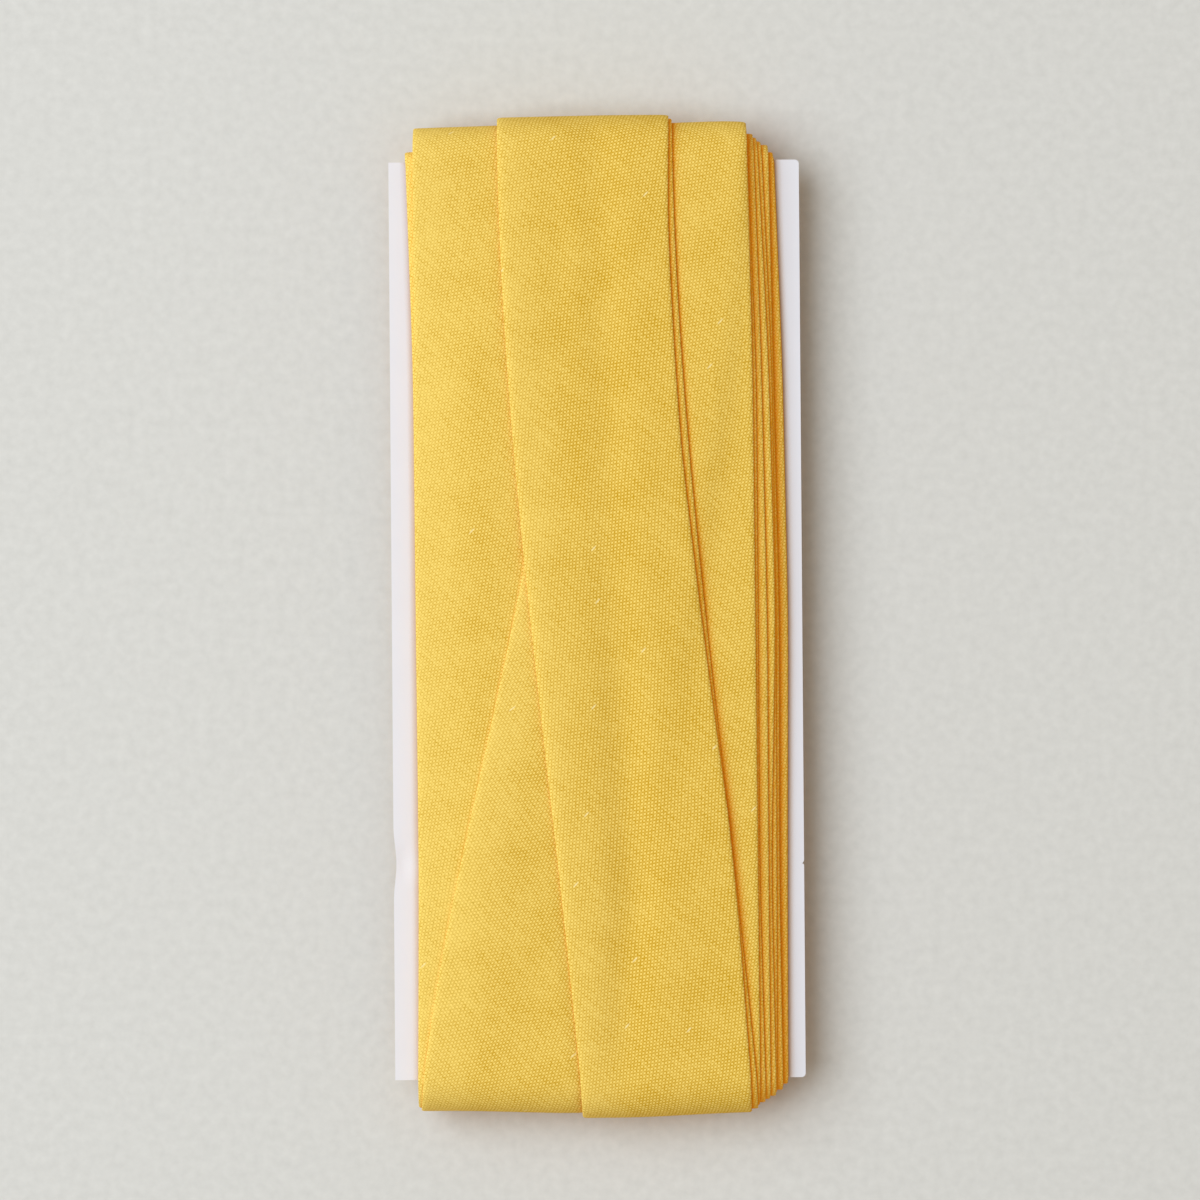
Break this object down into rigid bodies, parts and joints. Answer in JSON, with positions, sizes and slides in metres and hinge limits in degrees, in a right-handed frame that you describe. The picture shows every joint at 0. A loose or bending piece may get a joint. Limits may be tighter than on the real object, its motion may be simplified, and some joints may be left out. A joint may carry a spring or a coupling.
{
  "type": "card-wound hank of bias binding",
  "caption": "Folded cotton bias tape wound lengthwise round a flat white card in two overlapping columns, with leaning outer turns and a pressed flat back.",
  "frame": {"origin": "middle of the object's box across and along the card, on the plane that its back rests on", "axes": "+X across the card, +Y along the card to the end where the outer turn stands over the middle, +Z out of the front face"},
  "size_m": [0.0484, 0.1182, 0.0111],
  "materials": {
    "card": "matte",
    "tape": "matte"
  },
  "bodies": {
    "root": {"card": "card", "winding": "tape"}
  },
  "joints": []
}
